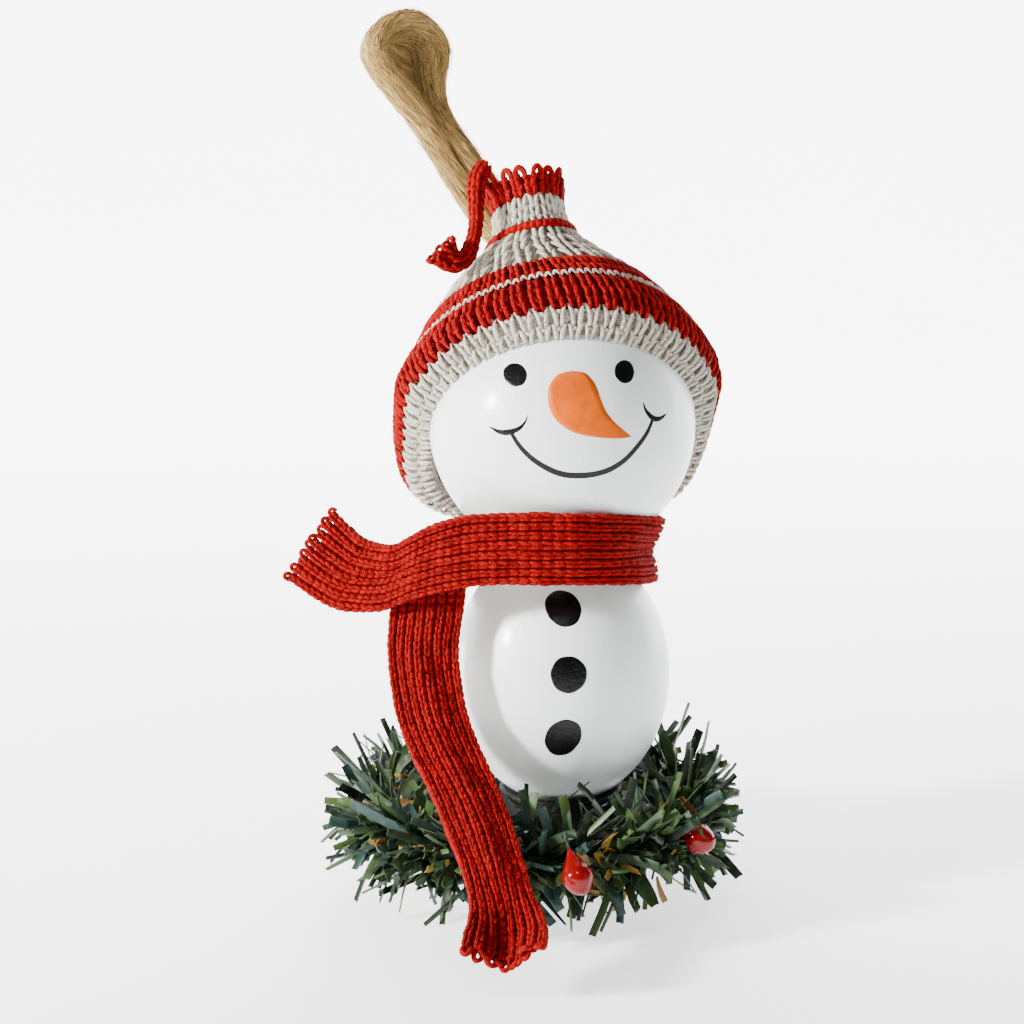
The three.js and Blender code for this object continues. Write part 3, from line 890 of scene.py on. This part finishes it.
GROUND_ROUND = 176
GROUND_ROWS = 94
GROUND_TOP = 6.62
hat_ground = shaded_backing("hat_ground", hat_surface, GROUND_ROUND, np.linspace(0, GROUND_TOP, GROUND_ROWS),
                     0.45, cream_wool)
hat_ground.data.materials.append(red_wool)
for face in hat_ground.data.polygons:
    v = (face.index // GROUND_ROUND + 0.5) * GROUND_TOP / (GROUND_ROWS - 1)
    face.material_index = int(1.03 < v < 2.96 or 4.92 < v < 5.02 or v > 6.04)
modified(hat_ground, "SOLIDIFY", thickness=0.9 * MM, offset=-1)
hat_fuzz_red = fuzz_on("hat_red_fuzz", hat_surface, (0, 1, 1.0, 2.9), 1500, red_wool, 5)
hat_fuzz_cream = fuzz_on("hat_cream_fuzz", hat_surface, (0, 1, 0.0, 1.0), 900, cream_wool, 6)
hat_parts = [hat_cream, hat_red, hat_edges, hat_fuzz_red, hat_fuzz_cream]
for piece in (hat_ground, *hat_parts):
    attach(piece, HEAD)
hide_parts("hat")

# ---------------------------------------------------------------------------------------------
# Tie: a red knitted string round the hat's neck. One end hangs at the left and curls up into a
# small frilled tip.

TIE_ROUTE = [(-18.6, -1.2, 174.6), (-20.4, -3.4, 171.6), (-20.8, -4.8, 166.4), (-20.8, -6.0, 161.0),
             (-21.6, -7.4, 156.4), (-23.2, -8.8, 152.8), (-26.2, -9.6, 151.9), (-28.8, -10.0, 154.4)]


def rows_at(table, share):
    """Rows blended from a table at shares (0 to 1) of the way down it, and the rows before them."""
    at = np.clip(share, 0, 1) * (len(table) - 1)
    low = np.minimum(at.astype(int), len(table) - 2)
    t = (at - low)[..., None]
    return table[low] * (1 - t) + table[low + 1] * t, low


def string_surface(route, radius):
    """A string's outside: u round it, v from its start (0) to its end (1)."""
    path, _ = evenly(smooth_curve(route) * MM, 160)
    along, across, up = carried_frames(path)
    table = np.hstack([path, across, up])

    def surface(u, v):
        rows, low = rows_at(table, v)
        centre, side, top = np.split(rows, 3, axis=-1)
        angle = (2 * math.pi * u)[..., None]
        swell = radius(np.clip(v, 0, 1))[..., None] * MM
        centre = centre + (v - np.clip(v, 0, 1))[..., None] * 20 * MM * along[low]
        return centre + swell * (np.cos(angle) * side + np.sin(angle) * top)

    return surface


def tie_radius(v):
    """The string's radius in millimetres: a little lumpy, and flared at its tip."""
    return 1.35 + 0.25 * np.sin(9 * v) + 2.2 * np.clip((v - 0.78) / 0.22, 0, 1) ** 1.5


TIE_ROUNDS = 17
tie_surface = string_surface(TIE_ROUTE, tie_radius)
tie_rounds = stitch_rounds(4, np.arange(TIE_ROUNDS + 1) / TIE_ROUNDS, (0.36, 0.12, 0.62, 0.15))
tie_rounds.append(open_loops(7, 0.985, 1.05, 0.55))
tie = knit_piece("hat_tie_stitches", tie_surface, tie_rounds, red_wool, hat_rng)
tie_ground = shaded_backing("hat_tie_ground", tie_surface, 16, np.linspace(0, 1, 60), 0.25, red_wool)
for piece in (tie, tie_ground):
    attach(piece, HEAD)
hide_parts("hat_tie")

# ---------------------------------------------------------------------------------------------
# Scarf: one strip of red machine knit, eight ribs wide, wound once round the neck. The short end
# sticks out at the left, and the long one hangs down and out over the garland to the floor.

# Stations along the strip: middle (x, y, z), the way its width points, width, and how deep its
# middle is creased inwards.
SCARF_STATIONS = [
    (-60.2, -15.2, 84.6, 0.56, -0.10, 0.82, 21.0, -0.8),
    (-55.0, -17.0, 80.8, 0.52, -0.10, 0.85, 20.0, -0.4),
    (-49.4, -19.0, 78.2, 0.42, -0.10, 0.90, 19.0, 0.6),
    (-41.2, -22.6, 78.4, 0.26, -0.16, 0.95, 17.6, 1.8),
    (-32.6, -26.6, 82.8, 0.10, -0.16, 0.98, 17.4, 0.4),
    (-20.0, -28.8, 85.8, 0.0, -0.10, 1.0, 17.4, -0.9),
    (-0.7, -29.8, 86.2, 0.0, -0.06, 1.0, 17.2, -0.9),
    (13.0, -24.0, 85.2, 0.0, 0.0, 1.0, 16.8, 0.4),
    (20.4, -12.0, 83.2, 0.10, 0.05, 1.0, 16.4, 2.4),
    (23.0, 2.0, 81.2, 0.12, 0.0, 1.0, 16.4, 1.8),
    (19.4, 16.6, 80.0, 0.12, 0.1, 1.0, 16.8, 0.0),
    (4.0, 26.0, 78.8, 0.0, 0.16, 1.0, 17.0, 0.0),
    (-14.0, 23.6, 78.2, -0.08, 0.16, 1.0, 17.0, 0.0),
    (-26.0, 12.4, 78.0, -0.12, 0.0, 1.0, 17.0, 0.0),
    (-31.0, 0.0, 79.0, -0.1, -0.2, 0.97, 16.6, 0.0),
    (-33.2, -9.6, 80.6, 0.1, -0.62, 0.78, 16.6, 0.0),
    (-32.6, -15.6, 80.4, 0.62, -0.62, 0.48, 17.2, 0.0),
    (-31.8, -19.0, 77.0, 0.95, -0.28, 0.16, 17.6, -0.4),
    (-32.4, -20.8, 70.6, 1.0, -0.12, 0.06, 18.0, -1.0),
    (-33.3, -22.6, 60.2, 1.0, -0.06, 0.06, 17.2, -1.5),
    (-31.4, -26.0, 47.2, 1.0, -0.03, 0.04, 17.0, -1.6),
    (-27.8, -29.8, 38.4, 1.0, 0.0, 0.02, 17.0, -1.4),
    (-24.0, -34.6, 31.9, 1.0, 0.02, 0.0, 16.6, -1.4),
    (-20.4, -42.6, 26.0, 1.0, 0.05, 0.0, 15.8, -1.6),
    (-16.8, -51.6, 18.9, 1.0, 0.06, 0.0, 14.8, -1.6),
    (-14.8, -57.2, 13.4, 1.0, 0.05, 0.0, 14.6, -0.6),
    (-13.6, -61.6, 9.8, 1.0, 0.0, 0.0, 16.6, 2.0),
    (-13.4, -66.4, 7.4, 1.0, -0.04, 0.08, 18.6, 4.4),
    (-14.0, -72.4, 5.6, 1.0, -0.10, 0.10, 18.8, 4.8),
]
SCARF_RIBS = 8
ROW_HEIGHT = 1.8

scarf_curve, scarf_length = evenly(smooth_curve(SCARF_STATIONS), 400)


def scarf_surface(u, v):
    """The strip's middle surface at u across it (0 to 1) and v along it in millimetres."""
    rows, low = rows_at(scarf_curve, v / scarf_length)
    width_way = unit(rows[..., 3:6])
    past = (v - np.clip(v, 0, scarf_length))[..., None]
    heading = unit(scarf_curve[low + 1, :3] - scarf_curve[low, :3])
    depth_way = unit(np.cross(heading, width_way))
    across = 0.5 - u
    crease = rows[..., 7] * (np.exp(-(across / 0.22) ** 2) - 0.3)
    crease = crease + 0.30 * np.sin(0.47 * v + 5 * u) * np.sin(0.19 * v - 7 * u)
    points = rows[..., :3] + heading * past + width_way * (across * rows[..., 6])[..., None]
    return (points - depth_way * crease[..., None]) * MM


def row_starts():
    """Where each row of stitches starts: rows are short in the tails, and pulled long in front."""
    starts = [0.0]
    while starts[-1] < scarf_length - ROW_HEIGHT:
        pulled = math.exp(-((starts[-1] - 0.30 * scarf_length) / (0.15 * scarf_length)) ** 4)
        starts.append(starts[-1] + ROW_HEIGHT + 1.1 * pulled)
    return starts


def scarf_rows(rng):
    """Every stitch of the strip: two legs in each rib of each row."""
    t = np.linspace(0, 1, 5)
    lines, radii = [], []
    starts = row_starts()
    for low, high in zip(starts, starts[1:]):
        rib = (np.arange(SCARF_RIBS) + 0.5)[:, None]
        for side in (-1, 1):
            lean = 0.07 + 0.17 * (1 - t) + 0.04 * np.sin(math.pi * t)
            u = (rib + side * lean + rng.normal(0, 0.02, rib.shape)) / SCARF_RIBS
            v = low + (high - low) * (1.36 * t - 0.20) + rng.normal(0, 0.08, rib.shape)
            rise = 0.25 * np.sin(math.pi * t) + 0 * u
            lines.append(np.stack([u, v, rise], -1))
            swell = 0.60 * (0.62 + 0.44 * np.sin(math.pi * t))
            radii.append(swell * (1 + rng.normal(0, 0.06, rib.shape)))
    return np.concatenate(lines), np.concatenate(radii)


def frayed_loops(v_edge, way, count, rng):
    """Open loops of the cast-off stitches along an end of the strip."""
    t = np.linspace(0, 1, 9)
    angle = math.pi * (1.2 - 1.4 * t)
    middle = (np.arange(count) + 0.5)[:, None]
    u = (middle + 0.33 * np.cos(angle) + rng.normal(0, 0.09, (count, 1))) / count
    reach = rng.uniform(0.5, 2.2, (count, 1))
    v = v_edge + way * reach * (0.2 + 0.7 * np.sin(angle))
    rise = rng.normal(0, 0.8, (count, 1)) * (0.5 + 0.5 * np.sin(angle))
    return np.stack([u, v, rise], -1), np.full(u.shape, 0.55)


scarf_rng = np.random.default_rng(8)
scarf_wool = wool("scarf_wool", (0.075, 0.0, 0.0, 1), (0.43, 0.001, 0.001, 1), (0.62, 0.05, 0.03, 1))
scarf_lines, scarf_radii = scarf_rows(scarf_rng)
reverse_lines = scarf_lines * (1, 1, -0.5) - (0, 0, 0.85)
scarf_layers = [knit_piece(name, scarf_surface, [(lines, radii)], scarf_wool, scarf_rng, 5, 1.6, 6, 0.4)
                for name, lines, radii in (("scarf_stitches", scarf_lines, scarf_radii),
                                           ("scarf_reverse_stitches", reverse_lines, scarf_radii * 0.9))]

loop_groups = [frayed_loops(0, -1, 9, scarf_rng), frayed_loops(scarf_length, 1, 7, scarf_rng),
               frayed_loops(scarf_length - 0.8, 1, 6, scarf_rng)]
loop_lines, loop_radii = gather(loop_groups, 9)
loop_vertices, loop_faces = yarn_on(scarf_surface, loop_lines, loop_radii, 1.0, 6)
scarf_loops = mesh_piece("scarf_end_loops", loop_vertices, loop_faces, scarf_wool,
                         np.full(len(loop_vertices), 0.3))

strip_u, strip_v = np.meshgrid(np.linspace(0.02, 0.98, 28),
                               np.linspace(1.5, scarf_length - 1.5, 330))
# The ground takes tone 0, the stitches' darkest, as painted shade in the furrows between the ribs.
scarf_ground = mesh_piece("scarf_ground", scarf_surface(strip_u, strip_v).reshape(-1, 3),
                          grid_faces(*strip_u.shape).tolist(), scarf_wool, np.zeros(strip_u.size))
modified(scarf_ground, "SOLIDIFY", thickness=0.7 * MM, offset=-1)
scarf_fuzz = fuzz_on("scarf_fuzz", scarf_surface, (0, 1, 0.0, scarf_length), 2200, scarf_wool, 9, 1.6)
scarf_parts = [*scarf_layers, scarf_loops, scarf_fuzz]
for piece in (scarf_ground, *scarf_parts):
    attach(piece, BASE)
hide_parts("scarf")

# ---------------------------------------------------------------------------------------------
# Wreath: a ring of wire with ten bunches of artificial fir twisted into it. Each bunch is cut
# from thin green film, so its needles are flat strips that stick out all round.

WREATH_MIDDLE = np.array([-6.0, 2.0, 14.0])
WREATH_RADIUS = 37.0
BUNCHES = 10
NEEDLES = 160
NEEDLE_RINGS = 6
NEEDLE_LENGTHS = (9.0, 21.0)
# Every thirteenth strip is a short ochre one that starts further out.
OCHRE_EVERY = 13
OCHRE_LENGTHS = (4.5, 7.0)

# Room that the needles keep, in millimetres: round the foot, out from the ring's middle, off the
# lower ball (half width and half height), and beside and under the scarf's tail, whose middle
# runs through (how far forward, x) and (how far forward, z).
FOOT_CLEARANCE = 17.5
WREATH_REACH = 54
BALL_CLEARANCE = (28.2, 34.2)
TAIL_HALF_WIDTH = 11.0
TAIL_GAP = 3.0
TAIL_X = [(28, -28), (34.6, -23.6), (42.6, -20.2), (51.6, -16.6), (57.2, -14.4), (70, -13.5)]
TAIL_Z = [(28, 40), (34.6, 31.8), (42.6, 25.9), (51.6, 18.6), (57.2, 12.6), (61.4, 8), (70, 3)]


def green_film():
    """Thin plastic film in mixed greens; tone picks the green, and the highest tones are ochre."""
    finish = Finish("fir_film", Specular_IOR_Level=0.3)
    tone = finish.attribute("tone")
    cloud = finish.noise(finish.place(), 420.0, 3.0)
    streak = finish.noise(finish.place((900, 900, 900)), 1.0, 2.0)
    green = finish.mix((tone * 2.2).clamped(), (0.003, 0.008, 0.003, 1), (0.017, 0.040, 0.014, 1))
    fresh = finish.mix(((tone - 0.45) * 3.0).clamped(), green, (0.060, 0.105, 0.020, 1))
    blue = finish.mix(((tone - 0.74) * 20.0).clamped(), fresh, (0.014, 0.040, 0.034, 1))
    ochre = finish.mix(((tone - 0.90) * 60.0).clamped(), blue, (0.25, 0.135, 0.020, 1))
    worn = finish.mix((cloud * 2.6 - 1.25).clamped() * 0.45, ochre, (0.10, 0.14, 0.09, 1))
    return finish.feed(Base_Color=worn, Roughness=cloud * 0.3 + 0.28,
                       Normal=finish.bump(streak, 0.25, 0.1 * MM))


def clear_of_neighbours(points):
    """Whether a needle's points all miss the floor, the foot, the lower ball and the scarf."""
    x, y, z = points.T
    if z.min() < 0.5:
        return False
    out = np.hypot(x, y)
    reach = np.hypot(x + 6.5, y - 2)
    top = np.interp(y, [-32, -8], [30, 36.5])
    if (out < FOOT_CLEARANCE).any() or (reach > WREATH_REACH).any() or (z > top).any():
        return False
    body = (out / BALL_CLEARANCE[0]) ** 2 + ((z - BODY_MIDDLE / MM) / BALL_CLEARANCE[1]) ** 2
    if (body < 1).any():
        return False
    tail_x, tail_z = (np.interp(-y, *np.transpose(table)) for table in (TAIL_X, TAIL_Z))
    beside = np.abs(x - tail_x) < TAIL_HALF_WIDTH
    return not (beside & (y < -22) & (z > tail_z - TAIL_GAP)).any()


def needle(rng, angle, ochre):
    """One strip: points along its middle, and the way its width runs."""
    outward_way = np.array([math.cos(angle), math.sin(angle), 0])
    around = np.array([-math.sin(angle), math.cos(angle), 0])
    upward = np.array([0, 0, 1.0])
    while True:
        turn = rng.normal(0.1 - 0.5 * max(0, -math.sin(angle)), 1.35)
        slant = rng.normal(0, 0.62)
        way = unit(math.cos(turn) * outward_way + math.sin(turn) * upward + slant * around)
        length = rng.uniform(*(OCHRE_LENGTHS if ochre else NEEDLE_LENGTHS))
        bend = rng.normal(0, 0.45, 3)
        t = np.linspace(0, 1, NEEDLE_RINGS)[:, None]
        start = WREATH_MIDDLE + WREATH_RADIUS * outward_way + way * 1.0
        if ochre:
            start = start + way * rng.uniform(4, 9)
            way = unit(rng.normal(size=3))
        sag = np.array([0, 0, -1.0]) * rng.uniform(-0.5, 2.2) * t ** 2
        points = start + way * length * t + bend * length * 0.5 * t ** 2 + sag
        if clear_of_neighbours(points):
            break
        angle += rng.normal(0, 0.03)
    side = unit(np.cross(way, rng.normal(size=3)))
    return points, side


def fir_bunch(number, material):
    """A share of the ring's needles, cut 1.1 to 2.6 mm wide with square ends."""
    rng = np.random.default_rng(100 + number)
    share = 2 * math.pi / BUNCHES
    centres, sides, widths, tones = [], [], [], []
    for i in range(NEEDLES):
        ochre = i % OCHRE_EVERY == 0
        angle = (number + rng.uniform(0, 1)) * share
        points, side = needle(rng, angle, ochre)
        centres.append(points)
        twist = rng.normal(0, 0.5) * np.linspace(0, 1, NEEDLE_RINGS)[:, None]
        way = unit(np.gradient(points, axis=0))
        sides.append(unit(side * np.cos(twist) + np.cross(way, side) * np.sin(twist)))
        half = rng.uniform(0.55, 1.3)
        widths.append(half * np.array([0.8, 1, 1, 1, 1, 0.92]))
        tones.append(1.0 if ochre else rng.uniform(0, 0.88))
    centres, sides, widths = (np.array(rows) for rows in (centres, sides, widths))
    heading = unit(np.gradient(centres, axis=1))
    sides = unit(sides - heading * (sides * heading).sum(-1, keepdims=True))
    up = np.cross(heading, sides)
    corner = np.array([[-1, -0.14], [0, 0.10], [1, -0.14], [1, 0.0], [0, 0.24], [-1, 0.0]])
    ring = (corner[:, 0, None] * sides[:, :, None] * widths[:, :, None, None]
            + corner[:, 1, None] * up[:, :, None])
    vertices = (centres[:, :, None] + ring).reshape(-1, 3) * MM
    faces = tube_faces(NEEDLES, NEEDLE_RINGS, len(corner))
    bunch = mesh_piece(f"fir_bunch_{number + 1:02d}", vertices, faces, material,
                       np.repeat(tones, NEEDLE_RINGS * len(corner)))
    normals_out(bunch)
    bpy.ops.object.shade_smooth_by_angle(angle=math.radians(30))
    return bunch


def enamelled_wire():
    """Dark green enamel on thin iron wire."""
    finish = Finish("green_wire", Specular_IOR_Level=0.5, Metallic=0.4)
    grain = finish.noise(finish.place(), 900.0)
    tone = finish.mix(grain, (0.010, 0.020, 0.012, 1), (0.030, 0.045, 0.030, 1))
    return finish.feed(Base_Color=tone, Roughness=grain * 0.3 + 0.35,
                       Normal=finish.bump(grain, 0.3, 0.1 * MM))


fir_film = green_film()
wire_enamel = enamelled_wire()
for number in range(BUNCHES):
    bunch = fir_bunch(number, fir_film)
    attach(bunch, BASE)
    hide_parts(f"garland_{number + 1:02d}")
wire = bpy.data.objects["wreath_wire"]
wire.data.materials.clear()
wire.data.materials.append(wire_enamel)

# ---------------------------------------------------------------------------------------------
# Berries: foam drops dipped in red lacquer. Each is pushed onto a thin dark wire stalk, which is
# twisted round the ring.

# Each berry: where its tip is (x, y, z), and the way it points from tip to round end.
BERRY_PLACES = [
    ((0.6, -46.0, 20.6), (0.28, -0.50, -0.82)),
    ((26.0, -24.5, 18.5), (0.75, -0.45, -0.25)),
    ((27.0, 29.5, 13.0), (0.72, 0.60, 0.05)),
    ((-24.5, 46.0, 18.5), (-0.36, 0.88, 0.28)),
    ((-41.0, 13.0, 9.0), (-0.80, 0.55, -0.10)),
]
BERRY_LENGTH = 11.5 * MM
BERRY_HALF_WIDTH = 3.7 * MM
STALK_RADIUS = 0.42 * MM
STALK_RINGS = 24


def berry_lacquer():
    """Deep, wet red, with paler patches where the dip is thin."""
    finish = Finish("berry_red", Coat_Weight=0.25, Coat_Roughness=0.04, Specular_IOR_Level=0.2)
    cloud = finish.noise(finish.place(), 330.0, 3.0)
    tone = finish.mix(cloud, (0.10, 0.0, 0.0, 1), (0.24, 0.0, 0.001, 1))
    return finish.feed(Base_Color=tone, Roughness=cloud * 0.15 + 0.12,
                       Normal=finish.bump(cloud, 0.15, 0.2 * MM))


berry_red = berry_lacquer()
for number, (tip, way) in enumerate(BERRY_PLACES, 1):
    berry = added(f"berry_drop_{number}", bpy.ops.mesh.primitive_uv_sphere_add, segments=28,
                  ring_count=20, radius=1)
    for vertex in berry.data.vertices:
        along = (1 - vertex.co.z) / 2
        girth = 0.16 + 0.90 * min(along / 0.62, 1) ** 1.1
        vertex.co.x *= BERRY_HALF_WIDTH * girth
        vertex.co.y *= BERRY_HALF_WIDTH * girth
        vertex.co.z = -along * BERRY_LENGTH
    berry.rotation_euler = (-Vector(way)).to_track_quat("Z", "Y").to_euler()
    berry.location = Vector(tip) * MM
    settle(berry, berry_red, 60)
    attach(berry, BASE)
    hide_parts(f"berry_{number}")

    ring_way = unit(np.array([tip[0], tip[1], 0]) - WREATH_MIDDLE * (1, 1, 0))
    root = WREATH_MIDDLE + ring_way * WREATH_RADIUS
    start = np.array(tip) + np.array(way) * 0.6
    knee = start - np.array(way) * 3.5
    route, _ = evenly(smooth_curve([start, knee, (knee + root) / 2 + (0, 0, 1.5), root]), STALK_RINGS)
    along, across, up = carried_frames(route, (0.3, 0.4, 0.8))
    vertices, faces = tubes(route[None] * MM, 8, across[None], up[None],
                            np.full((1, STALK_RINGS), STALK_RADIUS), 1.0)
    stalk = mesh_piece(f"berry_stalk_{number}", vertices, faces, wire_enamel)
    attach(stalk, BASE)
    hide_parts(f"berry_stem_{number}")

# ---------------------------------------------------------------------------------------------
# Studio: a plain pale floor that curves up behind into a bright backdrop. The floor glows as
# painted light, faint in front of the figure and rising to full strength behind it. A strong small
# light stands at the left, and two weak ones above the front and at the right open up the shadows.

# The floor's line from front to back (y, z) in metres, which reaches SWEEP_HALF_WIDTH each way.
SWEEP = [(-3.0, 0.0), (0.4, 0.0), (1.2, 0.10), (1.9, 0.42), (2.4, 1.0), (2.65, 1.9), (2.7, 4.5)]
SWEEP_HALF_WIDTH = 5
FLOOR_GAP = 0.2 * MM

floor_finish = Finish("pale_floor", Specular_IOR_Level=0.0, Emission_Strength=7.0)
floor_cloud = floor_finish.noise(floor_finish.place(), 5.0)
floor_white = floor_finish.mix(floor_cloud, (0.90, 0.90, 0.90, 1), (0.94, 0.94, 0.94, 1))
floor_depth = floor_finish.node("ShaderNodeSeparateXYZ", {}, "Y", {"Vector": floor_finish.place()})
# floor_glow is painted light: the floor's own glow, almost nothing in front of the figure and full far
# behind it.
floor_glow = ((floor_depth + 0.25) * 0.9).clamped() * 0.97 + 0.03
floor_finish.feed(Base_Color=floor_white, Roughness=floor_cloud * 0.1 + 0.85,
                  Emission_Color=floor_finish.mix(floor_glow, (0, 0, 0, 1), floor_white))
sweep_side = smooth_curve([(0, y, z - FLOOR_GAP) for y, z in SWEEP], 6)
sweep_points = np.stack([sweep_side + (x, 0, 0)
                         for x in np.linspace(-SWEEP_HALF_WIDTH, SWEEP_HALF_WIDTH, 5)])
floor = mesh_piece("floor", sweep_points.reshape(-1, 3),
                   grid_faces(*sweep_points.shape[:2]).tolist(), floor_finish.material)


def soft_light(name, place, size, power, tint):
    """A square soft box that shines on the middle of the figure."""
    data = bpy.data.lights.new(name, "AREA")
    data.size = size
    data.energy = power
    data.color = tint
    lamp = bpy.data.objects.new(name, data)
    bpy.context.scene.collection.objects.link(lamp)
    lamp.location = place
    aim = (cad_box[0] + cad_box[1]) / 2
    lamp.rotation_euler = (aim - Vector(place)).to_track_quat("-Z", "Y").to_euler()


soft_light("side_light", (-0.92, -0.40, 0.44), 0.14, 40, (1.0, 0.985, 0.96))
soft_light("top_light", (-0.10, -0.62, 0.88), 0.22, 2.8, (1.0, 1.0, 0.99))
soft_light("fill_light", (0.75, -0.55, 0.30), 0.6, 0.5, (0.76, 0.92, 1.0))

world = bpy.data.worlds.new("studio")
world.use_nodes = True
sky = world.node_tree.nodes["Background"]
sky.inputs["Color"].default_value = (0.96, 0.98, 1.0, 1)
sky.inputs["Strength"].default_value = 0.12
bpy.context.scene.world = world
